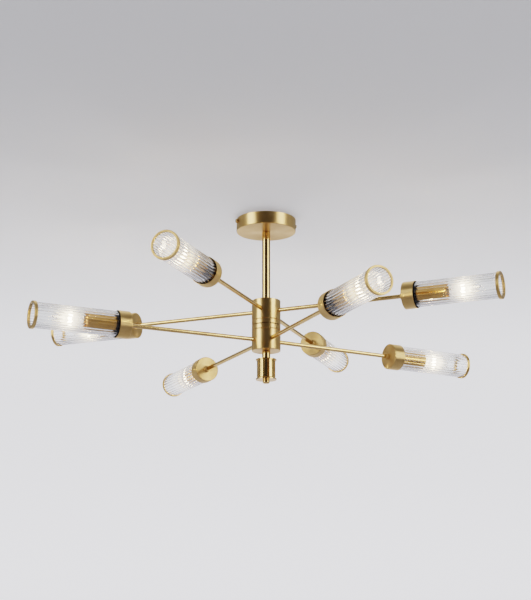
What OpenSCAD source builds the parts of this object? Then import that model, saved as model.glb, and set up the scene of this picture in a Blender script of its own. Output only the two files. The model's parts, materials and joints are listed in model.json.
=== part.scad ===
// Ceiling light: eight brass arms in two tiers, each with a ribbed glass tube shade and a candle bulb.
// The origin is the middle of the ceiling bracket's top face. +Z is up, so the light hangs into -Z,
// and the light's front is -Y. Arms 1 to 4 are the upper tier and arms 5 to 8 the lower one.

/* [Canopy] */
// Diameter of the canopy
canopy_d = 120; // [100:1:160]
// Height of the canopy
canopy_h = 25; // [20:0.5:40]
// Thickness of the canopy's wall and floor
canopy_wall = 1.2; // [0.8:0.1:2]
// Radius of the canopy's lower edge
canopy_edge = 1.2; // [0.4:0.1:3]
// Diameter of the thumb screws' knobs
knob_d = 8; // [6.5:0.5:10]
// Length of the thumb screws' knobs
knob_len = 4; // [3:0.5:10]
// Distance of the thumb screws' axes below the ceiling
thumb_drop = 7.5; // [6.5:0.5:12]

/* [Ceiling bracket] */
// Width of the bracket's strip
bracket_w = 22; // [16:1:30]
// Thickness of the bracket's strip
bracket_t = 2; // [1.5:0.1:3]
// Angle of the bracket and its thumb screws from the left-right line, in degrees
bracket_turn = 18; // [-90:1:90]
// Distance between the two ceiling screw holes
screw_spacing = 60; // [50:1:70]
// Diameter of a ceiling screw hole
screw_hole_d = 5; // [4:0.1:6]

/* [Stem and hub] */
// Length of the stem between the canopy and the hub
stem_len = 145; // [60:1:600]
// Diameter of the stem and of the neck
stem_d = 16; // [15:0.5:22]
// Diameter of the threaded rod that holds the stack together
rod_d = 10; // [8:0.5:12]
// Diameter of the hub
hub_d = 57; // [45:0.5:80]
// Height of the hub
hub_h = 103; // [84:1:140]
// Thickness of the hub's wall and end plates
hub_wall = 3; // [2:0.1:4]
// Distance from the hub's middle line to the groove above and the groove below it
groove_pitch = 10; // [6:0.5:14]
// Length of the neck between the hub and the finial
neck_len = 17; // [8:0.5:40]

/* [Finial] */
// Diameter of the finial's body
finial_d = 36.5; // [28:0.5:50]
// Height of the finial
finial_h = 41; // [25:0.5:70]
// How far the finial's two rims stand out
finial_rim = 2.2; // [1:0.1:4]
// Diameter of the ball nut under the finial
ball_d = 13.5; // [12.5:0.1:18]
// Height of the ball nut
ball_h = 7.5; // [6:0.1:12]

/* [Arms] */
// Length of an arm from the hub's side to the back of its shade holder
arm_len = 262.5; // [120:0.5:400]
// Diameter of an arm
arm_d = 8; // [6.6:0.1:10]
// Thickness of an arm's wall
arm_wall = 1; // [0.8:0.1:1.2]
// Height between the two tiers of arms
tier_gap = 60; // [50:1:72]
// Angle of the upper tier's first arm from the front, in degrees
upper_turn = -22; // [-45:0.5:45]
// Angle of the lower tier's first arm from the front, in degrees
lower_turn = 26; // [-45:0.5:45]
// Degrees that each upper arm is set off its even quarter turn, as the arms are locked by hand
upper_set = [1, -2, 2, -1];
// Degrees that each lower arm is set off its even quarter turn
lower_set = [-2.5, 3, 0, -0.5];

/* [Shades] */
// Diameter of the glass over its ribs
glass_d = 49; // [46:0.5:64]
// Thickness of the glass under the ribs' tops
glass_wall = 2; // [1.6:0.1:3]
// Length of glass that shows between the holder and the end ring
glass_len = 161; // [120:1:240]
// Number of ribs round the glass
rib_count = 28; // [20:1:36]
// Depth of the valleys between the ribs
rib_depth = 0.7; // [0.4:0.1:0.9]
// Length of the end ring
ring_len = 6; // [4:0.5:12]
// Thickness of the end ring's lip over the end of the glass
ring_lip = 1.5; // [1:0.1:2.5]

/* [Shade holders] */
// Length of a shade holder
holder_len = 24; // [16:0.5:40]
// Thickness of a shade holder's side
holder_wall = 1; // [0.8:0.1:1.5]
// Thickness of a shade holder's back
holder_back = 2; // [1.5:0.1:3]
// Length of the boss behind a shade holder that takes the arm
boss_len = 8; // [4:0.5:14]
// Thickness of the boss round the arm
boss_wall = 2.5; // [1.5:0.1:4]
// Thickness of the rubber gasket between the holder and the glass
gasket_wall = 0.65; // [0.5:0.05:1]
// Thickness of the gasket's floor, which the glass stands on
gasket_floor = 2; // [1:0.1:3]
// How far the gasket stands out of the holder's mouth
gasket_proud = 0.8; // [0:0.1:2]

/* [Candles and bulbs] */
// Diameter of the brass candle tube over the lampholder
candle_d = 30; // [27:0.5:34]
// Thickness of the candle tube
candle_wall = 0.8; // [0.5:0.1:1.2]
// Length of the candle tube past the holder's mouth
candle_len = 61; // [50:0.5:80]
// Diameter of the candle bulb
bulb_d = 35; // [28:0.5:42]
// Length of the bulb's glass
bulb_len = 75; // [60:1:90]
// Thickness of the bulb's glass
bulb_wall = 0.8; // [0.5:0.1:1.2]
// Depth of the bulb's glass inside the candle tube
bulb_sink = 9; // [4:0.5:14]
// Diameter of the bulb's screw cap
cap_d = 13.9; // [13.5:0.1:14.2]
// Length of the bulb's screw cap
cap_len = 19; // [16:0.5:22]
// Diameter of a lampholder's lead
lead_d = 1.8; // [1.4:0.1:2]

/* [Hidden] */
$fn = 96;
COUNT = 8;

// Colours
BRASS = "#c8a75c";
POLISHED = "#b8893b";
STEEL = "#9a9da1";
GLASS = "#dfe6ea";
RUBBER = "#1c1c1c";
PLASTIC = "#efeee8";
BULB = "#ffe2a8";

// Clearances, each on the radius unless it says otherwise
fit = 0.05;         // a fixed piece in its hole
turn_fit = 0.05;    // a hub drum or the ball nut on the rod
turn_gap = 0.1;     // each end face of a piece that turns, along its axis
slide_fit = 0.3;    // the glass in its gasket
screw_fit = 0.1;    // a thumb screw or a bulb's cap in its thread
loose_fit = 0.5;    // a thumb screw through the canopy's wall
parting = 0.3;      // the line between the two drums, along the axis

// Heights
canopy_bottom = -canopy_h;
hub_top = canopy_bottom - stem_len;
hub_mid = hub_top - hub_h / 2;
hub_bottom = hub_top - hub_h;
finial_top = hub_bottom - neck_len;
finial_bottom = finial_top - finial_h;
ball_bottom = finial_bottom - ball_h;
canopy_floor = canopy_bottom + canopy_wall;

// Rod and its nuts
washer_t = 1.2;
nut_t = 4;
nut_af = rod_d * 1.6;
rod_bore = rod_d - 3.5;
rod_spare = 2;
ball_floor = 2;
rod_top = canopy_floor + washer_t + nut_t + rod_spare;
rod_bottom = ball_bottom + ball_floor;
stem_wall = 1.5;
stem_bush = 8;
stem_edge = 1.2;

// Hub
drum_h = (hub_h - parting) / 2;
groove_w = 1.2;
groove_depth = 0.8;
hub_edge = 0.6;

// Bracket and thumb screws
canopy_inner = canopy_d / 2 - canopy_wall;
bracket_reach = sqrt(pow(canopy_inner, 2) - pow(bracket_w / 2, 2)) - slide_fit;
thumb_d = 4;
ear_w = 14;
ear_h = thumb_drop + 6;
wire_hole_d = 16;
knob_grooves = 12;
knob_gap = 0.4;

// Distances from the stem's axis along an arm
arm_start = hub_d / 2 - hub_wall - 1;
holder_start = hub_d / 2 + arm_len;
holder_floor = holder_start + holder_back;
holder_front = holder_start + holder_len;
glass_start = holder_floor + gasket_floor;
ring_end = holder_front + glass_len + ring_len;
glass_end = ring_end - ring_lip;
arm_end = holder_floor + 6;
candle_end = holder_front + candle_len;
bulb_start = candle_end - bulb_sink;
bulb_tip = bulb_start + bulb_len;
cap_tip = 3;
cap_start = bulb_start - cap_len - cap_tip;

// Diameters of the pieces that fit round the glass
glass_bore = glass_d - 2 * glass_wall;
gasket_bore = glass_d + 2 * slide_fit;
gasket_d = gasket_bore + 2 * gasket_wall;
holder_bore = gasket_d + 2 * fit;
holder_d = holder_bore + 2 * holder_wall;
gasket_eye = glass_bore - 5;
holder_edge = 1;
ring_bore = glass_d + 4 * fit;

// Lampholder
candle_bore = candle_d - 2 * candle_wall;
base_d = candle_bore - 2 * slide_fit;
base_len = 8;
head_wall = 5;
head_floor = 3;
mouth_rise = 1;
socket_d = cap_d + 2 * screw_fit;
stalk_d = 12;
lead_hole = 2 * lead_d + 1.2;
lead_side = lead_d / 2 + 0.2;
lead_start = 15;
feed_side = lead_d * 0.7;
feed_spare = 6;

// 0 for an arm of the upper tier and 1 for one of the lower
function tier(n) = n <= COUNT / 2 ? 0 : 1;

// An arm's place in its tier, counted from 0
function place(n) = (n - 1) % (COUNT / 2);

// An arm's angle from the front, in degrees
function arm_angle(n) = place(n) * 360 / (COUNT / 2)
    + (tier(n) == 0 ? upper_turn + upper_set[place(n)] : lower_turn + lower_set[place(n)]);

// The height of an arm's axis
function arm_z(n) = hub_mid + (tier(n) == 0 ? 1 : -1) * tier_gap / 2;

// The arms of one tier
function arms_of(t) = [for (n = [1:COUNT]) if (tier(n) == t) n];

// Points of an arc round a centre, from one angle to another
function arc(centre, r, from, to, steps = 6) =
    [for (i = [0:steps]) let (a = from + (to - from) * i / steps) centre + r * [cos(a), sin(a)]];

// Points of a cubic curve with end points a and d and handles b and c, without the point a
function curve(a, b, c, d, steps) =
    [for (i = [1:steps]) let (t = i / steps, s = 1 - t)
        s * s * s * a + 3 * s * s * t * b + 3 * s * t * t * c + t * t * t * d];

// Lays a shape that is drawn along +Z on the axis of arm n, pointing outwards from the stem
module on_arm(n) {
    translate([0, 0, arm_z(n)])
        rotate([0, 0, arm_angle(n) - 90])
            rotate([0, 90, 0])
                children();
}

// A tube along +Z between two heights
module tube(outer, inner, from, to) {
    translate([0, 0, from])
        difference() {
            cylinder(d = outer, h = to - from);
            translate([0, 0, -1])
                cylinder(d = inner, h = to - from + 2);
        }
}

// A hexagon nut along +Z from z = 0
module hex_nut() {
    difference() {
        cylinder(d = nut_af / cos(30), h = nut_t, $fn = 6);
        translate([0, 0, -1])
            cylinder(d = rod_d + 2 * fit, h = nut_t + 2);
    }
}

// Ceiling bracket: a strip with two turned-down ears that take the thumb screws
module ceiling_bracket() {
    color(STEEL)
        rotate([0, 0, bracket_turn])
            difference() {
                union() {
                    translate([-bracket_reach, -bracket_w / 2, -bracket_t])
                        cube([2 * bracket_reach, bracket_w, bracket_t]);
                    for (side = [-1, 1])
                        translate([side * (bracket_reach - bracket_t / 2), 0, -ear_h / 2])
                            cube([bracket_t, ear_w, ear_h], center = true);
                }
                translate([0, 0, -bracket_t - 1])
                    cylinder(d = wire_hole_d, h = bracket_t + 2);
                for (side = [-1, 1])
                    translate([side * screw_spacing / 2, 0, -bracket_t - 1])
                        cylinder(d = screw_hole_d, h = bracket_t + 2);
                for (side = [-1, 1])
                    translate([side * (bracket_reach - bracket_t / 2), 0, -thumb_drop])
                        rotate([0, 90, 0])
                            cylinder(d = thumb_d + 2 * screw_fit, h = bracket_t + 2, center = true);
            }
}

// Canopy: a shallow spun cup with a flat underside, a hole for the rod and two for the thumb screws
module canopy() {
    r = canopy_d / 2;
    hole = rod_d / 2 + loose_fit;
    color(BRASS)
        difference() {
            rotate_extrude()
                polygon(concat(
                    [[hole, canopy_bottom]],
                    arc([r - canopy_edge, canopy_bottom + canopy_edge], canopy_edge, -90, 0),
                    [[r, 0], [canopy_inner, 0], [canopy_inner, canopy_floor], [hole, canopy_floor]]
                ));
            for (side = [-1, 1])
                rotate([0, 0, bracket_turn])
                    translate([side * r, 0, -thumb_drop])
                        rotate([0, 90, 0])
                            cylinder(d = thumb_d + 2 * loose_fit, h = 10, center = true);
        }
}

// Thumb screw on the side of the canopy: a knurled knob with a round face, on a threaded shank
module thumb_screw(side) {
    shank_in = bracket_reach - bracket_t - 1;
    knob_in = canopy_d / 2 + knob_gap;
    knob_out = knob_in + knob_len;
    r = knob_d / 2;
    edge = 1;
    color(POLISHED)
        rotate([0, 0, bracket_turn])
            translate([0, 0, -thumb_drop])
                rotate([0, side * 90, 0])
                    difference() {
                        rotate_extrude()
                            polygon(concat(
                                [[0, shank_in], [thumb_d / 2, shank_in]],
                                [[thumb_d / 2, knob_in], [r, knob_in]],
                                arc([r - edge, knob_out - edge], edge, 0, 90),
                                [[0, knob_out]]
                            ));
                        for (i = [1:knob_grooves])
                            rotate([0, 0, i * 360 / knob_grooves])
                                translate([r + 0.4, 0, knob_in - 1])
                                    cylinder(d = 1.4, h = knob_len - edge + 1);
                    }
}

module thumb_screw_left() {
    thumb_screw(-1);
}

module thumb_screw_right() {
    thumb_screw(1);
}

// Terminal block on the canopy's floor, with three ways for the mains wires
module terminal_block() {
    size = [30, 16, 12];
    near = 23;
    color(PLASTIC)
        translate([-size.x / 2, near, canopy_floor])
            difference() {
                cube(size);
                for (i = [-1:1])
                    translate([size.x / 2 + i * 9, 0, 0]) {
                        translate([0, -1, 5])
                            rotate([-90, 0, 0])
                                cylinder(d = 3.4, h = size.y + 2);
                        translate([0, size.y / 2, 6])
                            cylinder(d = 4, h = size.z);
                    }
            }
}

// Hollow threaded rod through the whole stack, with cross holes in the hub for the wires
module centre_rod() {
    color(STEEL)
        difference() {
            tube(rod_d, rod_bore, rod_bottom, rod_top);
            for (side = [0, 90])
                translate([0, 0, hub_mid])
                    rotate([90, 0, side])
                        cylinder(d = rod_bore - 1, h = rod_d + 2, center = true);
        }
}

// Nuts and washer on the rod: on the canopy's floor, under the upper drum's plate and over the lower one's
module rod_nuts() {
    color(STEEL) {
        tube(rod_d * 1.9, rod_d + 2 * fit, canopy_floor, canopy_floor + washer_t);
        translate([0, 0, canopy_floor + washer_t])
            hex_nut();
        translate([0, 0, hub_top - hub_wall - turn_gap - nut_t])
            hex_nut();
        translate([0, 0, hub_bottom + hub_wall + turn_gap])
            hex_nut();
    }
}

// Live, neutral and earth leads in the rod's bore, from above the rod to its cross holes in the hub
module feed_leads() {
    color(PLASTIC)
        for (i = [0:2])
            rotate([0, 0, i * 120])
                translate([feed_side, 0, hub_mid])
                    cylinder(d = lead_d, h = rod_top + feed_spare - hub_mid);
}

// A brass tube with round ends and a bush in each end that fits the rod
module bushed_tube(from, to) {
    bush = min(stem_bush, (to - from) / 3);
    r = stem_d / 2;
    hole = rod_d / 2 + fit;
    inner = r - stem_wall;
    rotate_extrude()
        polygon(concat(
            [[hole, from]],
            arc([r - stem_edge, from + stem_edge], stem_edge, -90, 0),
            arc([r - stem_edge, to - stem_edge], stem_edge, 0, 90),
            [[hole, to], [hole, to - bush], [inner, to - bush], [inner, from + bush], [hole, from + bush]]
        ));
}

// Stem between the canopy and the hub
module stem() {
    color(POLISHED)
        bushed_tube(hub_top + turn_gap, canopy_bottom);
}

// Neck between the hub and the finial
module neck() {
    color(POLISHED)
        bushed_tube(finial_top, hub_bottom - turn_gap);
}

// One drum of the hub: its plate's outer face is at z = 0 and its open rim at z = -drum_h
module drum() {
    r = hub_d / 2;
    groove = groove_pitch - drum_h - parting / 2;
    rotate_extrude()
        polygon([
            [rod_d / 2 + turn_fit, 0],
            [rod_d / 2 + turn_fit, -hub_wall],
            [r - hub_wall, -hub_wall],
            [r - hub_wall, -drum_h],
            [r - groove_depth, -drum_h],
            [r, -drum_h + groove_w / 2],
            [r, groove - groove_w / 2],
            [r - groove_depth, groove],
            [r, groove + groove_w / 2],
            [r, -hub_edge],
            [r - hub_edge, 0]
        ]);
}

// The holes through a drum's wall for the arms of one tier
module arm_holes(t) {
    for (n = arms_of(t))
        on_arm(n)
            translate([0, 0, arm_start - 2])
                cylinder(d = arm_d + 2 * fit, h = hub_wall + 6);
}

// Upper drum of the hub, which turns on the rod with the upper tier
module hub_upper() {
    color(BRASS)
        difference() {
            translate([0, 0, hub_top])
                drum();
            arm_holes(0);
        }
}

// Lower drum of the hub, which turns on the rod with the lower tier
module hub_lower() {
    color(BRASS)
        difference() {
            translate([0, 0, hub_bottom])
                mirror([0, 0, 1])
                    drum();
            arm_holes(1);
        }
}

// Finial: a closed cup with a thin rim round its top and a rim with a hollow curve round its bottom
module finial_cup() {
    r = finial_d / 2;
    rim_t = 2;
    wall = 2;
    hole = rod_d / 2 + fit;
    rim_top = finial_bottom + rim_t;
    color(BRASS)
        difference() {
            rotate_extrude()
                polygon(concat(
                    [[hole, finial_top], [hole, finial_bottom], [r + finial_rim, finial_bottom]],
                    [[r + finial_rim, rim_top]],
                    arc([r + finial_rim, rim_top + finial_rim], finial_rim, 270, 180),
                    [[r, finial_top - rim_t], [r + finial_rim, finial_top - rim_t]],
                    [[r + finial_rim, finial_top]]
                ));
            translate([0, 0, finial_bottom + rim_t + 1])
                cylinder(r = r - wall, h = finial_h - 2 * (rim_t + 1));
        }
}

// Ball nut on the bottom end of the rod, with a rounded lower edge
module ball_nut() {
    r = ball_d / 2;
    round_r = ball_h * 0.4;
    hole = rod_d / 2 + turn_fit;
    top = finial_bottom - turn_gap;
    color(POLISHED)
        rotate_extrude()
            polygon(concat(
                [[0, ball_bottom]],
                arc([r - round_r, ball_bottom + round_r], round_r, -90, 0),
                [[r, top], [hole, top], [hole, rod_bottom - turn_gap], [0, rod_bottom - turn_gap]]
            ));
}

// Arm: a straight tube from inside the hub to the lampholder's base
module arm(n) {
    color(POLISHED)
        on_arm(n)
            tube(arm_d, arm_d - 2 * arm_wall, arm_start, arm_end);
}

// Shade holder: a cup with a flat back, and a boss behind it for the arm
module shade_holder(n) {
    r = holder_d / 2;
    hole = arm_d / 2 + fit;
    boss = arm_d / 2 + boss_wall;
    color(BRASS)
        on_arm(n)
            rotate_extrude()
                polygon(concat(
                    [[hole, holder_start - boss_len], [boss, holder_start - boss_len]],
                    [[boss, holder_start]],
                    arc([r - holder_edge, holder_start + holder_edge], holder_edge, -90, 0),
                    [[r, holder_front], [holder_bore / 2, holder_front]],
                    [[holder_bore / 2, holder_floor], [hole, holder_floor]]
                ));
}

// Gasket: a rubber cup without a middle, between the holder and the glass
module gasket(n) {
    on_arm(n)
        rotate_extrude()
            polygon([
                [gasket_eye / 2, holder_floor],
                [gasket_d / 2, holder_floor],
                [gasket_d / 2, holder_front + gasket_proud],
                [gasket_bore / 2, holder_front + gasket_proud],
                [gasket_bore / 2, glass_start],
                [gasket_eye / 2, glass_start]
            ]);
}

module gaskets(t) {
    color(RUBBER)
        for (n = arms_of(t))
            gasket(n);
}

module gaskets_upper() {
    gaskets(0);
}

module gaskets_lower() {
    gaskets(1);
}

// The ribbed outline: each rib is an arc, and the arcs meet in sharp valleys
function ribbed_outline(r_top, r_valley, count, steps) =
    let (
        half = 180 / count,
        centre = (r_top * r_top - r_valley * r_valley) / (2 * (r_top - r_valley * cos(half))),
        r = r_top - centre,
        swing = atan2(r_valley * sin(half), r_valley * cos(half) - centre)
    )
        [for (i = [0:count - 1], j = [0:steps - 1])
            let (turn = i * 2 * half, a = turn + swing * (2 * j / steps - 1))
                centre * [cos(turn), sin(turn)] + r * [cos(a), sin(a)]];

// Shade: a glass tube with a smooth bore and lengthwise ribs outside
module shade_glass(n) {
    length = glass_end - glass_start;
    r = glass_d / 2;
    color(GLASS, 0.4)
        on_arm(n)
            translate([0, 0, glass_start])
                difference() {
                    linear_extrude(height = length)
                        polygon(ribbed_outline(r, r - rib_depth, rib_count, 6));
                    translate([0, 0, -1])
                        cylinder(d = glass_bore, h = length + 2);
                }
}

// End ring: a brass cap over the open end of the glass, open in the middle
module shade_ring(n) {
    color(BRASS)
        on_arm(n)
            rotate_extrude()
                polygon([
                    [ring_bore / 2, ring_end - ring_len],
                    [holder_d / 2 - 0.3, ring_end - ring_len],
                    [holder_d / 2, ring_end - ring_len + 0.3],
                    [holder_d / 2, ring_end - 0.5],
                    [holder_d / 2 - 0.5, ring_end],
                    [glass_bore / 2, ring_end],
                    [glass_bore / 2, glass_end],
                    [ring_bore / 2, glass_end]
                ]);
}

// Half the outline of a candle shape: it swells from a neck and then runs to a round point
function candle_shape(from, to, neck_r, r) =
    let (length = to - from, widest = from + length * 0.38)
        concat(
            [[neck_r, from]],
            curve([neck_r, from], [neck_r, from + length * 0.13],
                [r, from + length * 0.2], [r, widest], 8),
            curve([r, widest], [r, from + length * 0.68],
                [r * 0.3, to], [0, to], 12)
        );

// Candle bulb: a screw cap with its contact, and a hollow glass
module bulb(n) {
    r = bulb_d / 2;
    neck_r = cap_d / 2 - 0.2;
    color(BULB)
        on_arm(n)
            difference() {
                rotate_extrude()
                    polygon(concat(
                        [[0, cap_start], [2.5, cap_start], [cap_d / 2, cap_start + cap_tip]],
                        [[cap_d / 2, bulb_start - 1]],
                        candle_shape(bulb_start, bulb_tip, neck_r, r)
                    ));
                rotate_extrude()
                    polygon(concat(
                        [[0, bulb_start + 2]],
                        candle_shape(bulb_start + 2, bulb_tip - 2 * bulb_wall,
                            neck_r - bulb_wall, r - bulb_wall)
                    ));
            }
}

// Candle tube: the brass sleeve over a lampholder
module candle_tubes(t) {
    color(BRASS)
        for (n = arms_of(t))
            on_arm(n)
                tube(candle_d, candle_bore, holder_floor, candle_end);
}

module candle_tubes_upper() {
    candle_tubes(0);
}

module candle_tubes_lower() {
    candle_tubes(1);
}

// Lampholder: a base screwed on the arm's end, a stalk and a head with the bulb's socket, and two leads
module lampholder(n) {
    head_start = cap_start - head_floor;
    head_end = bulb_start + mouth_rise;
    on_arm(n) {
        difference() {
            union() {
                translate([0, 0, holder_floor])
                    cylinder(d = base_d, h = base_len);
                translate([0, 0, holder_floor])
                    cylinder(d = stalk_d, h = head_start - holder_floor + 1);
                translate([0, 0, head_start])
                    cylinder(d = socket_d + 2 * head_wall, h = head_end - head_start);
            }
            translate([0, 0, holder_floor - 1])
                cylinder(d = arm_d + 2 * fit, h = arm_end - holder_floor + 1);
            translate([0, 0, holder_floor])
                cylinder(d = lead_hole, h = head_start - holder_floor - 1);
            translate([0, 0, cap_start])
                cylinder(d = socket_d, h = head_end - cap_start + 1);
        }
        for (side = [-1, 1])
            translate([0, side * lead_side, lead_start])
                cylinder(d = lead_d, h = head_start - 2 - lead_start);
    }
}

module lampholders(t) {
    color(PLASTIC)
        for (n = arms_of(t))
            lampholder(n);
}

module lampholders_upper() {
    lampholders(0);
}

module lampholders_lower() {
    lampholders(1);
}

ceiling_bracket();
canopy();
thumb_screw_left();
thumb_screw_right();
terminal_block();
centre_rod();
rod_nuts();
feed_leads();
stem();
hub_upper();
hub_lower();
neck();
finial_cup();
ball_nut();
candle_tubes_upper();
candle_tubes_lower();
lampholders_upper();
lampholders_lower();
gaskets_upper();
gaskets_lower();
for (n = [1:COUNT]) {
    arm(n);
    shade_holder(n);
    shade_glass(n);
    shade_ring(n);
    bulb(n);
}
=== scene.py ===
# %% [markdown]
# # A brass ceiling light with eight ribbed glass shades
# The imported CAD model is the fixed frame of this lesson: it holds every tube, cup and screw at its true
# size, and each of its bodies can move. Around it we make what a CAD solid can't show: fluted glass, real
# bulbs, edges that catch the light, and metals with a finish. We load the frame before anything else.

# %% Load the imported model
import json
import math

import bpy
import numpy as np
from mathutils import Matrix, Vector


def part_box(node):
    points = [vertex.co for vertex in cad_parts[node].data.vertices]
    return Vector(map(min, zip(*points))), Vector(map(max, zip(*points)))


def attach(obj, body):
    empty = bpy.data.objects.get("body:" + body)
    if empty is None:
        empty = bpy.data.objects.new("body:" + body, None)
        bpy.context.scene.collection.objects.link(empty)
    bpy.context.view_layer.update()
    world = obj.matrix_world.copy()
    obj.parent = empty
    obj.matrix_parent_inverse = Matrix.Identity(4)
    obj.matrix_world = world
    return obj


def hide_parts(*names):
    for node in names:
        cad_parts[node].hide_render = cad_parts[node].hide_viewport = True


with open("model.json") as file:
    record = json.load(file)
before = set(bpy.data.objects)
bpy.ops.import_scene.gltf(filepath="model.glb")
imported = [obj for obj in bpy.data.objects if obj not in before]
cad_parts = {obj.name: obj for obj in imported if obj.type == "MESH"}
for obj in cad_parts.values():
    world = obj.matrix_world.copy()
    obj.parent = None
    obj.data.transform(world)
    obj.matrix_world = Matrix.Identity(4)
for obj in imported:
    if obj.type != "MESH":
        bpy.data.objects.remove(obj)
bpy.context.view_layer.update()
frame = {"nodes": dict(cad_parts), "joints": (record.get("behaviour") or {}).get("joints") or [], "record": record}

MM = 0.001
ARMS = range(1, 9)

# %% [markdown]
# ## Where each arm runs
# An arm is a straight line out of the hub. Its direction is the axis along which its shade slides off, which
# the frame's joints hold, and its height is the middle of its tube. From these we make three unit vectors:
# across, up and along. A piece drawn round the arm's line in (across, up, along) then lands in its place with
# one matrix product, and its object can stay at the origin, as the rules of this frame ask.

# %% The line of each arm
SLIDE = {j["name"]: np.array(j["axis"], float) for j in frame["joints"]}
UP = np.array([0.0, 0.0, 1.0])


def arm_basis(n):
    """The arm's starting point on the stem's axis, and its rows across, up and along."""
    along = SLIDE[f"shade_{n}_off"]
    along = along / np.linalg.norm(along)
    low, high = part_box(f"arm_{n}")
    start = np.array([0.0, 0.0, (low.z + high.z) / 2])
    return start, np.array([np.cross(UP, along), UP, along])


def tier_of(n):
    """The body that carries arm n."""
    return "upper_tier" if n <= 4 else "lower_tier"


def node_points(node):
    """Every corner of a CAD node's mesh, as an array of points."""
    mesh = frame["nodes"][node].data
    points = np.zeros(len(mesh.vertices) * 3)
    mesh.vertices.foreach_get("co", points)
    return points.reshape(-1, 3)


def reach(node, n, widest=0.04):
    """Where a node starts and ends along arm n, and its largest radius there: the distance along the arm is
    the dot product with its direction, and the radius is what is left across it."""
    start, basis = arm_basis(n)
    local = (node_points(node) - start) @ basis.T
    radius = np.hypot(local[:, 0], local[:, 1])
    mine = (local[:, 2] > 0) & (radius < widest)
    return local[mine, 2].min(), local[mine, 2].max(), radius[mine].max()


for n in ARMS:
    print("arm", n, "points along", np.round(arm_basis(n)[1][2], 3), "and is", tier_of(n))

# %% [markdown]
# ## One helper for every turned piece
# Most of this light was turned on a lathe, pressed in a round mould or blown. Blender's Spin tool or a Screw
# modifier could make such shapes. Here a surface is a grid instead: rows follow the outline and columns go
# round the axis, so one array expression gives every point. Real turned edges are never knife sharp, so the
# outline's corners are rounded first, with a point just before and after each arc, which keeps the shading of
# the flat faces flat.

# %% Outlines with rounded corners
ARC_STEPS = 5
HOLD = 0.12 * MM


def rounded(corners, closed=True):
    """Rounds the corners of an outline of (radius, along, fillet). Each corner becomes an arc that touches
    both of its sides: it starts and ends fillet / tan(half the corner's angle) away from the corner."""
    points, count = [], len(corners)
    for i, (x, y, fillet) in enumerate(corners):
        here = np.array([x, y])
        if fillet == 0 or (not closed and i in (0, count - 1)):
            points.append(here[None])
            continue
        before = np.array(corners[i - 1][:2]) - here
        after = np.array(corners[(i + 1) % count][:2]) - here
        room = min(np.linalg.norm(before), np.linalg.norm(after))
        before, after = before / np.linalg.norm(before), after / np.linalg.norm(after)
        half = math.acos(np.clip(before @ after, -1, 1)) / 2
        setback = min(fillet / math.tan(half), 0.45 * room)
        centre = here + (before + after) / np.linalg.norm(before + after) * setback / math.cos(half)
        first, last = here + before * setback - centre, here + after * setback - centre
        swing = math.atan2(first[0] * last[1] - first[1] * last[0], first @ last)
        turn = np.linspace(0, swing, ARC_STEPS + 1)[:, None]
        arc = centre + first * np.cos(turn) + np.array([-first[1], first[0]]) * np.sin(turn)
        hold = min(HOLD, 0.1 * setback + 0.02 * room)
        points += [arc[:1] + before * hold, arc, arc[-1:] + after * hold]
    return np.concatenate(points)


def grid_faces(rows, columns, closed):
    """Four-sided faces of a grid whose columns wrap round, and whose rows wrap too where it is closed."""
    i = np.arange(rows if closed else rows - 1)[:, None]
    j = np.arange(columns)[None]
    below, right = (i + 1) % rows, (j + 1) % columns
    quads = [i * columns + j, i * columns + right, below * columns + right, below * columns + j]
    return np.stack([q + 0 * (i + j) for q in quads], -1).reshape(-1, 4)


def turned(outline, columns=96, closed=True, radius=None):
    """Turns an outline of (radius, along) round the axis: across = r cos(angle), up = r sin(angle). radius
    may be a function of the outline's radii, its distances and the angles, for shapes that aren't round. An
    open outline starts and ends on the axis, and each end is one point there."""
    angle = np.arange(columns) * 2 * np.pi / columns
    rows = outline if closed else outline[1:-1]
    r, s = rows[:, :1] + 0 * angle, rows[:, 1:] + 0 * angle
    if radius is not None:
        r = radius(r, s, angle[None] + 0 * r)
    points = np.stack([r * np.cos(angle), r * np.sin(angle), s], -1).reshape(-1, 3)
    faces = grid_faces(len(rows), columns, closed).tolist()
    if not closed:
        first, last = len(points), len(points) + 1
        j = np.arange(columns)
        k, end = (j + 1) % columns, (len(rows) - 1) * columns
        faces += np.stack([0 * j + first, k, j], -1).tolist()
        faces += np.stack([0 * j + last, end + j, end + k], -1).tolist()
        points = np.concatenate([points, [[0, 0, outline[0, 1]], [0, 0, outline[-1, 1]]]])
    return points, faces


print("helpers ready; a corner takes", ARC_STEPS + 3, "points")

# %% [markdown]
# ## From arrays to an object
# `from_pydata` takes the points and faces. We then check which way the faces look: the signed volume of a
# closed mesh is positive when they point outwards, so a negative one means that every face has to be turned.
# The drawing's own coordinates are kept as an attribute called `local`, and the way round the piece's axis as
# one called `around`. A finish that follows the piece, such as fine turning lines, reads them at any angle.

# %% Make one piece
def enclosed(points, faces):
    """The signed volume of a closed mesh: the sum over its triangles of a . (b x c) / 6."""
    quads = np.array([f if len(f) == 4 else [*f, f[2]] for f in faces])
    a, b, c, d = (points[quads[:, k]] for k in range(4))
    return (np.einsum("ij,ij->", a, np.cross(b, c)) + np.einsum("ij,ij->", a, np.cross(c, d))) / 6


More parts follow.
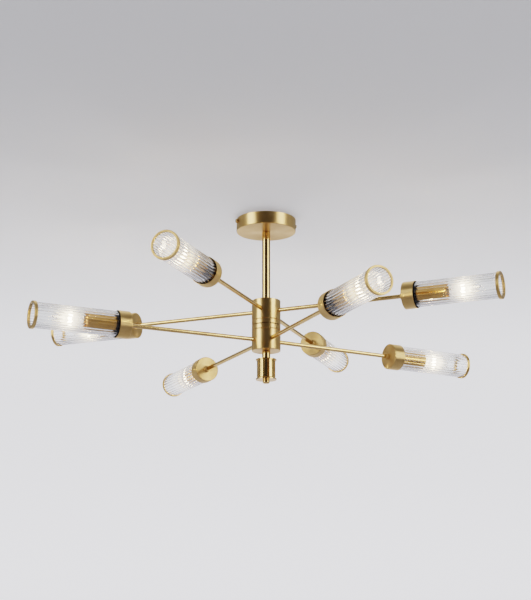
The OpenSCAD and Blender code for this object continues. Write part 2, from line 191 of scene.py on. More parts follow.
def make_piece(name, local, faces, material, start=(0, 0, 0), basis=None, smooth=True):
    """Puts a drawing of (across, up, along) points in its place and links it as an object at the origin."""
    if enclosed(local, faces) < 0:
        faces = [f[::-1] for f in faces]
    world = np.array(start) + (local if basis is None else local @ basis)
    mesh = bpy.data.meshes.new(name)
    mesh.from_pydata(world.tolist(), [], faces)
    mesh.polygons.foreach_set("use_smooth", np.full(len(mesh.polygons), smooth))
    around = np.cross([0.0, 0.0, 1.0], local)
    around /= np.maximum(np.linalg.norm(around, axis=1), 1e-9)[:, None]
    for label, vectors in (("local", local), ("around", around if basis is None else around @ basis)):
        kept = mesh.attributes.new(label, "FLOAT_VECTOR", "POINT")
        kept.data.foreach_set("vector", vectors.astype(np.float32).ravel())
    mesh.materials.append(material)
    mesh.update()
    piece = bpy.data.objects.new(name, mesh)
    bpy.context.scene.collection.objects.link(piece)
    return piece


def dress(piece, body, slot, *nodes):
    """The piece moves with a body and stands for CAD nodes, which it hides. slot is not used."""
    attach(piece, body)
    if nodes:
        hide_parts(*nodes)
    return piece


# %% [markdown]
# ## Finishes made from nodes
# A metal is one shader with its Metallic at 1: its base colour is the colour of what it mirrors. What makes
# it look real is that its roughness isn't even. Fine lines from the brush or the lathe run one way, so we
# stretch a noise along that way, and a slow noise adds the faint cloudiness of handled brass. One small
# function wires these up, and each finish calls it with its own numbers.

# %% Node helpers
def new_material(name):
    """An empty node material with its Principled shader wired to the output."""
    material = bpy.data.materials.new(name)
    material.use_nodes = True
    tree = material.node_tree
    tree.nodes.clear()
    output = tree.nodes.new("ShaderNodeOutputMaterial")
    shader = tree.nodes.new("ShaderNodeBsdfPrincipled")
    tree.links.new(shader.outputs[0], output.inputs["Surface"])
    return material, tree, shader


def coordinates(tree, scale, attribute=None):
    """A piece's Object coordinates, or its own attribute, stretched by a scale along each axis."""
    if attribute:
        source = tree.nodes.new("ShaderNodeAttribute")
        source.attribute_name = attribute
        place = source.outputs["Vector"]
    else:
        place = tree.nodes.new("ShaderNodeTexCoord").outputs["Object"]
    mapping = tree.nodes.new("ShaderNodeMapping")
    mapping.inputs["Scale"].default_value = scale
    tree.links.new(place, mapping.inputs["Vector"])
    return mapping.outputs["Vector"]


def noise(tree, place, detail=2.0, rough=0.5):
    """A noise from 0 to 1 whose grains are one unit of its coordinates across."""
    node = tree.nodes.new("ShaderNodeTexNoise")
    node.inputs["Scale"].default_value = 1.0
    node.inputs["Detail"].default_value = detail
    node.inputs["Roughness"].default_value = rough
    tree.links.new(place, node.inputs["Vector"])
    return node.outputs["Fac"]


def between(tree, value, low, high, start=0.3, end=0.7):
    """Maps a noise, which stays mostly between start and end, to a range of a finish."""
    node = tree.nodes.new("ShaderNodeMapRange")
    for name, number in (("From Min", start), ("From Max", end), ("To Min", low), ("To Max", high)):
        node.inputs[name].default_value = number
    tree.links.new(value, node.inputs["Value"])
    return node.outputs["Result"]


def two_tones(tree, value, dark, light):
    """A colour that runs from dark to light as value runs from 0 to 1."""
    node = tree.nodes.new("ShaderNodeMix")
    node.data_type = "RGBA"
    node.inputs["A"].default_value = (*dark, 1)
    node.inputs["B"].default_value = (*light, 1)
    tree.links.new(value, node.inputs["Factor"])
    return node.outputs["Result"]


def bump(tree, shader, height, distance):
    """Lets a height from 0 to 1 tilt the surface as relief of that depth in metres."""
    node = tree.nodes.new("ShaderNodeBump")
    node.inputs["Strength"].default_value = 1.0
    node.inputs["Distance"].default_value = distance
    tree.links.new(height, node.inputs["Height"])
    tree.links.new(node.outputs["Normal"], shader.inputs["Normal"])


def find(tree, kind):
    """The first node of a kind, such as the shader or the output."""
    return next(node for node in tree.nodes if node.type == kind)


def maths(tree, operation, first, second=None):
    """A Math node. Each input is another node's socket or a plain number."""
    node = tree.nodes.new("ShaderNodeMath")
    node.operation = operation
    for socket, value in zip(node.inputs, (first, second)):
        if isinstance(value, (int, float)):
            socket.default_value = value
        elif value is not None:
            tree.links.new(value, socket)
    return node.outputs[0]


def coordinate(tree, axis, attribute=None):
    """One axis of a piece's Object coordinates, or of its own attribute, in metres."""
    parts = tree.nodes.new("ShaderNodeSeparateXYZ")
    tree.links.new(coordinates(tree, (1, 1, 1), attribute), parts.inputs[0])
    return parts.outputs[axis]


def show_mix(tree, factor, first, second, output="OUTPUT_MATERIAL"):
    """Sends a mix of two shaders to the output: the first where factor is 0, the second where it is 1."""
    mix = tree.nodes.new("ShaderNodeMixShader")
    for socket, value in zip(mix.inputs, (factor, first.outputs[0], second.outputs[0])):
        tree.links.new(value, socket)
    tree.links.new(mix.outputs[0], find(tree, output).inputs["Surface"])


# %% [markdown]
# ### Brass
# The drums, cups and rings are satin brass, brushed and lacquered, and the tubes are polished. Both have the
# same colour. They differ in how rough they are and in how deep their lines are. `scale` is how fine the
# lines are along each axis: a large number along the piece and a small one across it gives rings, as a lathe
# leaves them. The hub's grooves are in the CAD model, and a bump on top of them sharpens their edges.

# %% Brass finishes
BRASS_DARK = (0.73, 0.49, 0.215)
BRASS_LIGHT = (0.82, 0.585, 0.29)


def way_round(tree, attribute):
    """The direction of the turning lines: kept with the piece, or round the Z axis for a CAD node."""
    if not attribute:
        node = tree.nodes.new("ShaderNodeTangent")
        node.direction_type, node.axis = "RADIAL", "Z"
        return node.outputs["Tangent"]
    source, node = tree.nodes.new("ShaderNodeAttribute"), tree.nodes.new("ShaderNodeVectorTransform")
    source.attribute_name = "around"
    node.vector_type, node.convert_from, node.convert_to = "VECTOR", "OBJECT", "WORLD"
    tree.links.new(source.outputs["Vector"], node.inputs[0])
    return node.outputs[0]


def brass(name, roughness, spread, scale, relief, attribute=None, streak=0.0,
          tones=(BRASS_DARK, BRASS_LIGHT)):
    """Brass with lines stretched by scale, whose roughness varies by spread round roughness. A streak above 0
    smears mirrored light across the lines, as brushed metal does."""
    material, tree, shader = new_material(name)
    lines = noise(tree, coordinates(tree, scale, attribute), 3.0, 0.6)
    clouds = noise(tree, coordinates(tree, (35, 35, 35), attribute), 2.0)
    shader.inputs["Metallic"].default_value = 1.0
    tree.links.new(two_tones(tree, between(tree, clouds, 0, 1), *tones), shader.inputs["Base Color"])
    rough = between(tree, lines, roughness - spread, roughness + spread)
    tree.links.new(rough, shader.inputs["Roughness"])
    if relief:
        bump(tree, shader, lines, relief)
    if streak:
        shader.inputs["Anisotropic"].default_value = streak
        shader.inputs["Anisotropic Rotation"].default_value = 0.25
        tree.links.new(way_round(tree, attribute), shader.inputs["Tangent"])
    return material


def cut_grooves(material, heights, half_width, depth):
    """Adds the look of V grooves round the Z axis. Each is -1 + |z - height| / half_width, up to 0."""
    tree = material.node_tree
    shader = find(tree, "BSDF_PRINCIPLED")
    fine = shader.inputs["Normal"].links[0].from_socket
    along, total = coordinate(tree, "Z"), None
    for height in heights:
        away = maths(tree, "ABSOLUTE", maths(tree, "SUBTRACT", along, height))
        groove = between(tree, away, -1, 0, 0, half_width)
        total = groove if total is None else maths(tree, "ADD", total, groove)
    bump(tree, shader, total, depth)
    tree.links.new(fine, shader.inputs["Normal"].links[0].from_node.inputs["Normal"])


FINE = 0.0000008
VERY_FINE = 0.0000003
TURNED = (60, 60, 2600)
GROOVE_PITCH = 10.0 * MM
GROOVE_HALF_WIDTH = 0.7 * MM
GROOVE_DEPTH = 0.5 * MM
CANDLE_TONES = ((0.66, 0.38, 0.11), (0.74, 0.45, 0.15))
SATIN_RINGS = brass("satin_brass_turned", 0.34, 0.02, TURNED, FINE, streak=0.6)
SATIN_HUB = brass("satin_brass_hub", 0.32, 0.02, TURNED, FINE, streak=0.5)
SATIN_LOCAL = brass("satin_brass_cup", 0.38, 0.02, TURNED, FINE, "local", streak=0.85)
POLISHED = brass("polished_brass", 0.15, 0.006, (12, 12, 12), 0)
CANDLE_BRASS = brass("candle_tube_brass", 0.17, 0.01, (20, 20, 20), VERY_FINE, tones=CANDLE_TONES)
HUB_MIDDLE = (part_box("hub_upper")[0].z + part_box("hub_lower")[1].z) / 2
groove_heights = [HUB_MIDDLE + step * GROOVE_PITCH for step in (-1, 0, 1)]
cut_grooves(SATIN_HUB, groove_heights, GROOVE_HALF_WIDTH, GROOVE_DEPTH)

# %% [markdown]
# ### Steel, plastic and rubber
# These sit inside the canopy, the hub and the shades. Zinc plate has a cloudy look with small crystals, which
# a Voronoi pattern gives. Moulded plastic and rubber are plain colours with a fine skin, so a small noise in
# roughness and relief is enough.

# %% Plain finishes
def zinc_plate():
    """Zinc plated steel: grey metal whose crystals differ in roughness."""
    material, tree, shader = new_material("zinc_plate")
    cells = tree.nodes.new("ShaderNodeTexVoronoi")
    cells.inputs["Scale"].default_value = 1.0
    tree.links.new(coordinates(tree, (450, 450, 450)), cells.inputs["Vector"])
    shader.inputs["Metallic"].default_value = 1.0
    tones = two_tones(tree, cells.outputs["Distance"], (0.55, 0.57, 0.60), (0.72, 0.73, 0.74))
    tree.links.new(tones, shader.inputs["Base Color"])
    tree.links.new(between(tree, cells.outputs["Distance"], 0.28, 0.42, 0, 1), shader.inputs["Roughness"])
    return material


def moulded(name, dark, light, roughness, grain, relief):
    """Plastic or rubber with a fine moulded skin."""
    material, tree, shader = new_material(name)
    skin = noise(tree, coordinates(tree, (grain, grain, grain)), 3.0)
    tree.links.new(two_tones(tree, between(tree, skin, 0, 1), dark, light), shader.inputs["Base Color"])
    rough = between(tree, skin, roughness - 0.06, roughness + 0.06)
    tree.links.new(rough, shader.inputs["Roughness"])
    bump(tree, shader, skin, relief)
    return material


ZINC = zinc_plate()
PLASTIC = moulded("white_plastic", (0.80, 0.79, 0.75), (0.86, 0.85, 0.81), 0.42, 900, 0.000008)
RUBBER = moulded("black_rubber", (0.012, 0.012, 0.012), (0.028, 0.027, 0.026), 0.62, 700, 0.00002)

# %% [markdown]
# ### Glass
# Clear glass only bends and mirrors, so almost all of its look comes from its shape. Two things help it. Rays
# on their way to a lamp pass straight through, so that the lit bulb inside can shine out, and a slow waviness
# breaks the reflections as pressed glass does.

# %% Glass finishes
def clear_glass(name, tint, ior, wave, depth):
    """Glass whose shadow is nearly clear: a Mix Shader takes a Transparent shader for shadow rays."""
    material, tree, shader = new_material(name)
    shader.inputs["Base Color"].default_value = (*tint, 1)
    shader.inputs["Roughness"].default_value = 0.0
    shader.inputs["IOR"].default_value = ior
    shader.inputs["Transmission Weight"].default_value = 1.0
    bump(tree, shader, noise(tree, coordinates(tree, (wave, wave, wave)), 1.0), depth)
    clear = tree.nodes.new("ShaderNodeBsdfTransparent")
    clear.inputs["Color"].default_value = (*[0.93 * t for t in tint], 1)
    path = tree.nodes.new("ShaderNodeLightPath")
    show_mix(tree, path.outputs["Is Shadow Ray"], shader, clear)
    return material


def add_halo(material, middle, spread, strength, colour):
    """Paints a soft glow into glass round a distance from the stem, where the bulb inside it shines: an emission
    of strength * exp(-((along - middle) / spread)^2) that stands in for the bulb's light in the glass."""
    tree = material.node_tree
    shader = find(tree, "BSDF_PRINCIPLED")
    away = maths(tree, "DIVIDE", maths(tree, "SUBTRACT", coordinate(tree, "Z", "local"), middle), spread)
    fall = maths(tree, "EXPONENT", maths(tree, "MULTIPLY", maths(tree, "POWER", away, 2), -1))
    shader.inputs["Emission Color"].default_value = (*colour, 1)
    tree.links.new(maths(tree, "MULTIPLY", fall, strength), shader.inputs["Emission Strength"])


RIBBED_GLASS = clear_glass("ribbed_glass", (0.985, 0.99, 0.99), 1.5, 60, 0.00002)
BULB_GLASS = clear_glass("bulb_glass", (1.0, 0.99, 0.97), 1.45, 90, 0.00001)
# The halos are painted glow: the bulb's glass and the shade's glass give light of their own round the bulb.
BULB_HALO = (409 * MM, 12 * MM, 0.6, (1.0, 0.78, 0.48))
SHADE_HALO = (411 * MM, 26 * MM, 0.1, (1.0, 0.87, 0.66))
add_halo(BULB_GLASS, *BULB_HALO)
add_halo(RIBBED_GLASS, *SHADE_HALO)

# %% [markdown]
# ## Give the CAD pieces their finishes
# These nodes have the right shape already, so only their material slots change. The record says which slot
# each node belongs to, so a short table from slot to finish dresses them all.

# %% Finishes of the CAD nodes
FINISH = {
    "satin_brass": SATIN_RINGS,
    "polished_brass": POLISHED,
    "zinc_steel": ZINC,
    "ribbed_glass": RIBBED_GLASS,
    "bulb_glass": BULB_GLASS,
    "black_rubber": RUBBER,
    "white_plastic": PLASTIC,
}
OWN_FINISH = {
    "hub_upper": SATIN_HUB, "hub_lower": SATIN_HUB, "finial_cup": POLISHED, "neck": POLISHED,
    "candle_tubes_upper": CANDLE_BRASS, "candle_tubes_lower": CANDLE_BRASS,
}
for row in frame["record"]["subparts"]:
    node = frame["nodes"][row["node"]]
    node.data.materials.clear()
    node.data.materials.append(OWN_FINISH.get(row["node"], FINISH[row["material_slot"]]))
print(len(frame["nodes"]), "CAD nodes have a finish")

# %% [markdown]
# ## Ribbed glass tubes
# The shade is a tube of pressed glass, smooth inside, with lengthwise ribs outside. Each rib is an arc, and
# two arcs meet in a sharp valley. The ribs act as small lenses: they smear whatever stands behind them into
# bright and dark lines. A bump texture can't do that, so the ribs are real here. The tube is a closed outline
# with rounded lips, and the ribs take away from its radius, most at the outside and nothing at the bore.

# %% Glass tubes
RIBS = 28
RIB_STEPS = 12
RIB_DEPTH = 0.7 * MM
GLASS_WALL = 2.0 * MM


def rib_drop(angle, outer):
    """How far the surface lies under the ribs' tops: the sagitta of an arc across one rib's pitch, which is
    big_r - sqrt(big_r^2 - x^2), where x runs from minus to plus half a pitch."""
    half = np.pi * outer / RIBS
    big_r = (half**2 + RIB_DEPTH**2) / (2 * RIB_DEPTH)
    x = ((angle * RIBS / (2 * np.pi) + 0.5) % 1 - 0.5) * 2 * half
    return big_r - np.sqrt(big_r**2 - x**2)


def sharp_valleys(piece, columns, step, outside):
    """Marks the lengthwise edges in the valleys as sharp, so that smooth shading stops there."""
    mesh = piece.data
    ends = np.zeros(len(mesh.edges) * 2, np.int32)
    mesh.edges.foreach_get("vertices", ends)
    a, b = ends.reshape(-1, 2).T
    in_valley = ((a % columns) == (b % columns)) & (a % columns % step == step // 2)
    marks = mesh.attributes.new("sharp_edge", "BOOLEAN", "EDGE")
    marks.data.foreach_set("value", in_valley & outside[a // columns] & outside[b // columns])


def glass_tube(n):
    """The ribbed tube of shade n."""
    first, last, outer = reach(f"shade_glass_{n}", n)
    bore = outer - GLASS_WALL
    lip = 0.7 * MM
    corners = [(outer, first, lip), (outer, last, lip), (bore, last, lip), (bore, first, lip)]
    outline = rounded(corners)

    def fluted(r, s, angle):
        return r - rib_drop(angle, outer) * np.clip((r - bore) / (outer - bore), 0, 1)

    columns = RIBS * RIB_STEPS
    local, faces = turned(outline, columns, radius=fluted)
    piece = make_piece(f"glass_{n}", local, faces, RIBBED_GLASS, *arm_basis(n))
    sharp_valleys(piece, columns, RIB_STEPS, outline[:, 0] > bore + lip)
    return dress(piece, f"shade_{n}", "ribbed_glass", f"shade_glass_{n}")


tubes = [glass_tube(n) for n in ARMS]
print("a glass tube has", len(tubes[0].data.polygons), "faces")

# %% [markdown]
# ## Shade holders and end rings
# A holder is a turned cup: a boss grips the arm, a flat back carries the lampholder and the side takes the
# gasket and the glass. The ring at the other end is a small turned cap. The CAD cups have the right sizes but
# plain edges. These have the small radii that a polisher leaves, which show as thin bright lines.

# %% Cups and rings
BOSS_LENGTH = 8.0 * MM
BOSS_WALL = 2.5 * MM
SIDE_WALL = 1.05 * MM
RING_CLEAR = 0.2 * MM


def holder(n):
    """The cup at the end of arm n, open towards the glass."""
    back, front, outer = reach(f"shade_holder_{n}", n)
    arm_r = reach(f"arm_{n}", n)[2]
    floor = reach("gaskets_upper" if n <= 4 else "gaskets_lower", n)[0]
    hole, boss, bore = arm_r + 0.05 * MM, arm_r + BOSS_WALL, outer - SIDE_WALL
    shoulder = back + BOSS_LENGTH
    corners = [
        (hole, back, 0.3 * MM), (boss, back, 0.8 * MM), (boss, shoulder, 0.8 * MM),
        (outer, shoulder, 1.6 * MM), (outer, front, 0.35 * MM), (bore, front, 0.3 * MM),
        (bore, floor, 0.3 * MM), (hole, floor, 0.3 * MM),
    ]
    local, faces = turned(rounded(corners), 128)
    piece = make_piece(f"holder_{n}", local, faces, SATIN_LOCAL, *arm_basis(n))
    return dress(piece, tier_of(n), "satin_brass", f"shade_holder_{n}")


def end_ring(n):
    """The cap over the open end of glass n: a side over the ribs and a lip over the cut end."""
    first, last, outer = reach(f"shade_ring_{n}", n)
    glass_end, glass_r = reach(f"shade_glass_{n}", n)[1:]
    seat, mouth = glass_r + RING_CLEAR, glass_r - GLASS_WALL
    corners = [
        (seat, first, 0.2 * MM), (outer, first, 0.4 * MM), (outer, last, 0.9 * MM),
        (mouth, last, 0.5 * MM), (mouth, glass_end, 0.2 * MM), (seat, glass_end, 0.2 * MM),
    ]
    local, faces = turned(rounded(corners), 128)
    piece = make_piece(f"ring_{n}", local, faces, SATIN_LOCAL, *arm_basis(n))
    return dress(piece, f"shade_{n}", "satin_brass", f"shade_ring_{n}")


cups = [holder(n) for n in ARMS]
rings = [end_ring(n) for n in ARMS]
print("a holder has", len(cups[0].data.polygons), "faces, a ring", len(rings[0].data.polygons))

# %% [markdown]
# ## Candle bulbs
# The bulb is four things: a thin glass flame shape, a screw cap with a rolled thread, a glass foot that
# carries two wires, and the filament. The flame's outline is two cubic curves. The thread is the cap's radius
# plus a wave that climbs by one pitch a turn, so it is a function of the distance and the angle. The filament
# is a small coil along an arc that gives the light, and the flame's glass round it has a painted glow.

# %% The glass flame
BULB_WALL = 0.8 * MM
CAP_TIP = 3.0 * MM
CAP_LENGTH = 19.0 * MM
CAP_RADIUS = 6.95 * MM
FLAME_WIDEST = 0.38


def cubic(a, b, c, d, steps):
    """A cubic curve: the sum of its end points and handles, weighed by powers of t and 1 - t."""
    t = np.linspace(0, 1, steps)[:, None]
    a, b, c, d = (np.array(p, float) for p in (a, b, c, d))
    return (1 - t) ** 3 * a + 3 * (1 - t) ** 2 * t * b + 3 * (1 - t) * t**2 * c + t**3 * d


def flame(first, last, neck, outer):
    """Half the outline of a candle flame, from its neck to its tip on the axis."""
    length = last - first
    widest = first + length * FLAME_WIDEST
    low = cubic((neck, first), (neck, first + 0.13 * length),
                (outer, first + 0.2 * length), (outer, widest), 24)
    high = cubic((outer, widest), (outer, first + 0.68 * length),
                 (0.3 * outer, last), (0, last), 40)
    return np.concatenate([low, high[1:]])


def envelope(n):
    """The hollow glass of bulb n: the outside runs down to the neck and the inside back up to the tip."""
    start, end, outer = reach(f"bulb_{n}", n)
    first = start + CAP_TIP + CAP_LENGTH
    neck = CAP_RADIUS - 0.2 * MM
    outside = flame(first, end, neck, outer)
    inside = flame(first, end - 1.6 * BULB_WALL, neck - BULB_WALL, outer - BULB_WALL)
    outline = np.concatenate([outside[::-1], inside])
    local, faces = turned(outline, 72, closed=False)
    piece = make_piece(f"bulb_glass_{n}", local, faces, BULB_GLASS, *arm_basis(n))
    return dress(piece, f"bulb_{n}", "bulb_glass", f"bulb_{n}")


flames = [envelope(n) for n in ARMS]
print("a bulb's glass has", len(flames[0].data.polygons), "faces")

# %% The screw cap
THREAD_PITCH = 2.82 * MM
THREAD_DEPTH = 0.42 * MM


def screw_cap(n):
    """The cap of bulb n: a solder tip, a cone of insulator and a shell with a rolled thread, whose radius
    is less by depth * (1 + cos(2 pi along / pitch + angle)) / 2."""
    start = reach(f"bulb_{n}", n)[0] + 0.05 * MM
    shell = start + CAP_TIP
    top = shell + CAP_LENGTH - 0.4 * MM
    tip = cubic((0, start), (2.2 * MM, start), (2.6 * MM, start + MM), (2.6 * MM, start + 1.2 * MM), 8)
    side = np.linspace(shell, top, 90)[:, None]
    wall = np.concatenate([CAP_RADIUS + 0 * side, side], 1)
    outline = np.concatenate([tip, [[5.6 * MM, shell - 0.5 * MM]], wall, [[0, top]]])
    fade = 1.5 * MM

    def rolled(r, s, angle):
        share = np.clip((s - shell) / fade, 0, 1) * np.clip((top - 3 * fade - s) / fade, 0, 1)
        return r - share * THREAD_DEPTH * (1 + np.cos(2 * np.pi * s / THREAD_PITCH + angle)) / 2

    local, faces = turned(outline, 48, closed=False, radius=rolled)
    piece = make_piece(f"bulb_cap_{n}", local, faces, ZINC, *arm_basis(n))
    return dress(piece, f"bulb_{n}", "zinc_steel")


caps = [screw_cap(n) for n in ARMS]
print("a cap has", len(caps[0].data.polygons), "faces")

# %% [markdown]
# ### Foot, wires and filament
# A tube along a path needs a direction and two vectors across it at every point. The path here lies in one
# plane, or coils evenly, so the vector across can be made from the path's direction and one fixed vector,
# and the cross product gives the second. The coil's centre follows an arc across the bulb.

# %% Tubes along a path
COIL_TURNS = 12
FILAMENT_AT = 90.0 * MM
FILAMENT_HALF = 6.5 * MM


def tube_along(path, radius, sides=8, fixed=(1.0, 0.0, 0.0)):
    """A round tube with closed ends: each ring of points is path + radius (cos a * p + sin a * q)."""
    direction = np.gradient(path, axis=0)
    direction /= np.linalg.norm(direction, axis=1)[:, None]
    p = np.cross(direction, fixed)
    p /= np.linalg.norm(p, axis=1)[:, None]
    q = np.cross(direction, p)
    angle = np.arange(sides) * 2 * np.pi / sides
    round_it = np.cos(angle)[None, :, None] * p[:, None] + np.sin(angle)[None, :, None] * q[:, None]
    points = (path[:, None] + radius * round_it).reshape(-1, 3)
    faces = grid_faces(len(path), sides, False).tolist()
    end = (len(path) - 1) * sides
    for k in range(1, sides - 1):
        faces += [[0, k + 1, k], [end, end + k, end + k + 1]]
    return points, faces


def joined(parts):
    """Several meshes as one: the points end to end, and each part's faces counted on from the last."""
    points, faces, used = [], [], 0
    for p, f in parts:
        points.append(p)
        faces += [[k + used for k in face] for face in f]
        used += len(p)
    return np.concatenate(points), faces


def filament(n):
    """The glowing coil of bulb n: a helix round an arc that bows towards the bulb's tip."""
    front = reach(f"shade_holder_{n}", n)[1]
    t = np.linspace(0, 1, COIL_TURNS * 12)
    bow = 2.5 * MM
    x = FILAMENT_HALF * (2 * t - 1)
    centre = np.stack([0 * t, x, front + FILAMENT_AT + bow * (1 - (2 * t - 1) ** 2)], -1)
    turn = 2 * np.pi * COIL_TURNS * t
    coil = 3.0 * MM
    path = centre + coil * np.stack([np.cos(turn), 0 * t, np.sin(turn)], -1)
    local, faces = tube_along(path, 0.6 * MM, 6, (0.0, 1.0, 0.0))
    piece = make_piece(f"filament_{n}", local, faces, GLOW, *arm_basis(n))
    return dress(piece, f"bulb_{n}", "bulb_glass")


def foot(n):
    """The glass foot of bulb n with the two wires that hold the filament's ends."""
    start = reach(f"bulb_{n}", n)[0] + CAP_TIP + CAP_LENGTH
    front = reach(f"shade_holder_{n}", n)[1]
    top = front + FILAMENT_AT
    corners = [(0, start + 0.2 * MM, 0), (5.2 * MM, start + 0.2 * MM, 0), (2.6 * MM, start + 9 * MM, 2 * MM),
               (2.4 * MM, start + 16 * MM, 1 * MM), (0, start + 16.5 * MM, 0)]
    glass = turned(rounded(corners, closed=False), 32, closed=False)
    piece = make_piece(f"bulb_foot_{n}", *glass, BULB_FOOT, *arm_basis(n))
    dress(piece, f"bulb_{n}", "bulb_glass")
    wires = []
    for side in (-1, 1):
        path = cubic((0, side * 1.2 * MM, start + 14 * MM), (0, side * 1.5 * MM, start + 24 * MM),
                     (0, side * FILAMENT_HALF, top - 8 * MM), (0, side * FILAMENT_HALF, top), 16)
        wires.append(tube_along(path, 0.3 * MM, 6))
    wire = make_piece(f"bulb_wires_{n}", *joined(wires), ZINC, *arm_basis(n))
    dress(wire, f"bulb_{n}", "zinc_steel")


def glowing(name, colour, strength):
    """A hot wire: a dark metal that gives its own light."""
    material, _, shader = new_material(name)
    shader.inputs["Base Color"].default_value = (0.1, 0.09, 0.08, 1)
    shader.inputs["Emission Color"].default_value = (*colour, 1)
    shader.inputs["Emission Strength"].default_value = strength
    return material


GLOW = glowing("glowing_filament", (1.0, 0.8, 0.52), 300.0)
BULB_FOOT = clear_glass("bulb_foot_glass", (0.98, 0.99, 0.98), 1.45, 200, 0.00001)
coils = [filament(n) for n in ARMS]
for n in ARMS:
    foot(n)
print("a filament has", len(coils[0].data.polygons), "faces")

# %% [markdown]
# ## The studio
# The light hangs from a plain pale ceiling over a plain pale floor. Brass shows whatever it mirrors, so two
# large soft lamps stand to the left and right in front of it, with a dark gap between them: that gap is the
# dark line down the middle of every brass drum. The ceiling is seen only from below, so a view from above
# still shows the light, and brass doesn't mirror it, so the drums mirror the lamps. The floor looks pale to
# the camera, and is darker in mirrors, so that the brass keeps its contrast.

# %% Ceiling and floor
CEILING_R = 16.0
FLOOR_R = 30.0
FLOOR_Z = -2.3


def stage_disc(name, radius, z, facing, material):
    """A flat round sheet of the stage, whose one face looks up or down."""
    angle = np.arange(128) * 2 * np.pi / 128 * facing
    points = np.stack([radius * np.cos(angle), radius * np.sin(angle), 0 * angle + z], -1)
    mesh = bpy.data.meshes.new(name)
    mesh.from_pydata(points.tolist(), [], [list(range(128))])
    mesh.materials.append(material)
    disc = bpy.data.objects.new(name, mesh)
    bpy.context.scene.collection.objects.link(disc)
    return disc


def pale_sheet(name, colour, own_light, tint, fade, seen=0.0):
    """A pale matt sheet that is clear from behind, with a little light of its own to keep it even. A fade of
    (start, end, light) lets its own light grow from that of the near side to that of the far side. What is
    seen straight from the camera gets the light seen on top, which mirrors and glass don't show."""
    material, tree, shader = new_material(name)
    shader.inputs["Base Color"].default_value = (*[colour * t for t in tint], 1)
    shader.inputs["Roughness"].default_value = 1.0
    shader.inputs["Specular IOR Level"].default_value = 0.0
    shader.inputs["Emission Color"].default_value = (*tint, 1)
    grown = between(tree, coordinate(tree, "Y"), own_light, fade[2], fade[0], fade[1])
    grown.node.interpolation_type = "SMOOTHSTEP"
    path, side = tree.nodes.new("ShaderNodeLightPath"), tree.nodes.new("ShaderNodeNewGeometry")
    extra = maths(tree, "MULTIPLY", path.outputs["Is Camera Ray"], seen)
    tree.links.new(maths(tree, "ADD", grown, extra), shader.inputs["Emission Strength"])
    show_mix(tree, side.outputs["Backfacing"], shader, tree.nodes.new("ShaderNodeBsdfTransparent"))
    return material


ceiling_paint = pale_sheet("ceiling_paint", 0.35, 0.08, (1.0, 1.0, 1.04), (-0.9, 1.3, 0.64))
ceiling = stage_disc("ceiling", CEILING_R, 0.0004, -1, ceiling_paint)
floor_paint = pale_sheet("floor_paint", 0.3, 0.05, (0.99, 0.98, 1.04), (0.5, 6.0, 0.42), 0.62)
floor = stage_disc("floor", FLOOR_R, FLOOR_Z, 1, floor_paint)
ceiling.visible_glossy = False
ceiling.visible_shadow = False
floor.visible_shadow = False

# %% Lamps and surroundings
LAMP_AZIMUTH = 60.0
LAMP_DISTANCE = 2.6
LAMP_Z = 0.35
LAMP_WIDTH = 1.55
LAMP_HEIGHT = 2.6
LAMP_POWER = 30.0


def soft_lamp(name, azimuth):
    """A big rectangular lamp that faces the stem. Azimuth 0 is in front, and 90 is to the right."""
    data = bpy.data.lights.new(name, "AREA")
    data.shape, data.size, data.size_y = "RECTANGLE", LAMP_WIDTH, LAMP_HEIGHT
    data.energy = LAMP_POWER
    lamp = bpy.data.objects.new(name, data)
    a = math.radians(azimuth)
    lamp.location = (LAMP_DISTANCE * math.sin(a), -LAMP_DISTANCE * math.cos(a), LAMP_Z)
    lamp.rotation_euler = (math.radians(90), 0, a)
    bpy.context.scene.collection.objects.link(lamp)
    lamp.visible_camera = False


def back_glow(strength, climb, spread):
    """A wide glow from behind that climbs to the ceiling, so the canopy casts a soft shadow to the front."""
    data = bpy.data.lights.new("back_glow", "SUN")
    data.energy, data.angle = strength, math.radians(spread)
    glow = bpy.data.objects.new("back_glow", data)
    glow.rotation_euler = (math.radians(-90 - climb), 0, 0)
    bpy.context.scene.collection.objects.link(glow)
    glow.visible_camera = False
    glow.visible_glossy = False
    glow.visible_transmission = False


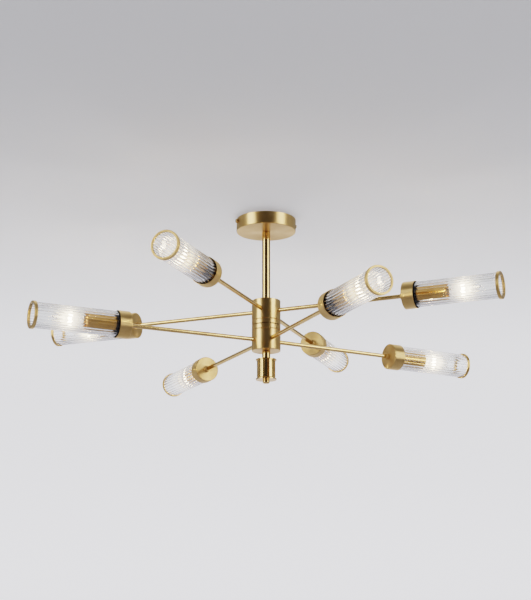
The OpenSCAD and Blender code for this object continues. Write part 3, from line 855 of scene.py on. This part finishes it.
def surroundings():
    """The world: pale to the eye, and pale behind the light through glass. Mirrors see it dark in front, with
    a bright part that is high and to the back."""
    world = bpy.data.worlds.new("studio")
    bpy.context.scene.world = world
    world.use_nodes = True
    tree = world.node_tree
    tree.nodes.clear()
    tree.nodes.new("ShaderNodeOutputWorld")
    way, parts = tree.nodes.new("ShaderNodeTexCoord"), tree.nodes.new("ShaderNodeSeparateXYZ")
    tree.links.new(way.outputs["Generated"], parts.inputs[0])
    ahead, high = parts.outputs["Y"], parts.outputs["Z"]
    seen, mirrored = tree.nodes.new("ShaderNodeBackground"), tree.nodes.new("ShaderNodeBackground")
    path = tree.nodes.new("ShaderNodeLightPath")
    straight, through = path.outputs["Is Camera Ray"], path.outputs["Is Transmission Ray"]
    seen.inputs["Color"].default_value = (0.78, 0.78, 0.8, 1)
    behind = between(tree, ahead, 0.3, 1.0, -0.3, 0.3)
    tree.links.new(maths(tree, "MAXIMUM", straight, behind), seen.inputs["Strength"])
    tone = between(tree, ahead, 0.07, 0.28, -0.9, -0.2)
    above, beyond = between(tree, high, 0.0, 0.9, 0.35, 0.75), between(tree, ahead, 0, 1, 0.0, 0.4)
    upper = maths(tree, "MULTIPLY", above, beyond)
    tree.links.new(maths(tree, "ADD", tone, upper), mirrored.inputs["Strength"])
    show_mix(tree, maths(tree, "MAXIMUM", straight, through), mirrored, seen, "OUTPUT_WORLD")


soft_lamp("soft_lamp_left", -LAMP_AZIMUTH)
soft_lamp("soft_lamp_right", LAMP_AZIMUTH)
back_glow(4.0, 35, 55)
surroundings()

# %% [markdown]
# ## The lit bulbs and the camera
# A filament this small would light its surroundings only with much noise, so a small lamp of the same colour
# sits in each bulb and does that work. The camera stands below and in front of the light and looks up at it.
# A long lens keeps the arms' foreshortening gentle.

# %% Bulb lamps
BULB_POWER = 0.12
BULB_COLOUR = (1.0, 0.78, 0.5)
BULB_SOURCE_R = 6.0 * MM
for n in ARMS:
    data = bpy.data.lights.new(f"bulb_light_{n}", "POINT")
    data.energy, data.color, data.shadow_soft_size = BULB_POWER, BULB_COLOUR, BULB_SOURCE_R
    lamp = bpy.data.objects.new(f"bulb_light_{n}", data)
    start, basis = arm_basis(n)
    lamp.location = start + basis[2] * (reach(f"shade_holder_{n}", n)[1] + FILAMENT_AT)
    bpy.context.scene.collection.objects.link(lamp)
    lamp.visible_camera = False
    lamp.visible_transmission = False
    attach(lamp, f"bulb_{n}")
print("each bulb gives", BULB_POWER, "W")

# %% Camera
CAMERA_LEFT = 0.0013
CAMERA_BACK = 2.799
CAMERA_DOWN = 0.924
CAMERA_PITCH = 15.12
CAMERA_LENS = 86.87

lens = bpy.data.cameras.new("camera")
lens.sensor_width = 36.0
lens.lens = CAMERA_LENS
camera = bpy.data.objects.new("camera", lens)
camera.location = (-CAMERA_LEFT, -CAMERA_BACK, -CAMERA_DOWN)
camera.rotation_euler = (math.radians(90 + CAMERA_PITCH), 0, 0)
bpy.context.scene.collection.objects.link(camera)
bpy.context.scene.camera = camera
bpy.context.scene.view_settings.view_transform = "Filmic"
bpy.context.scene.view_settings.look = "High Contrast"
print("lens", round(lens.lens, 2), "mm")
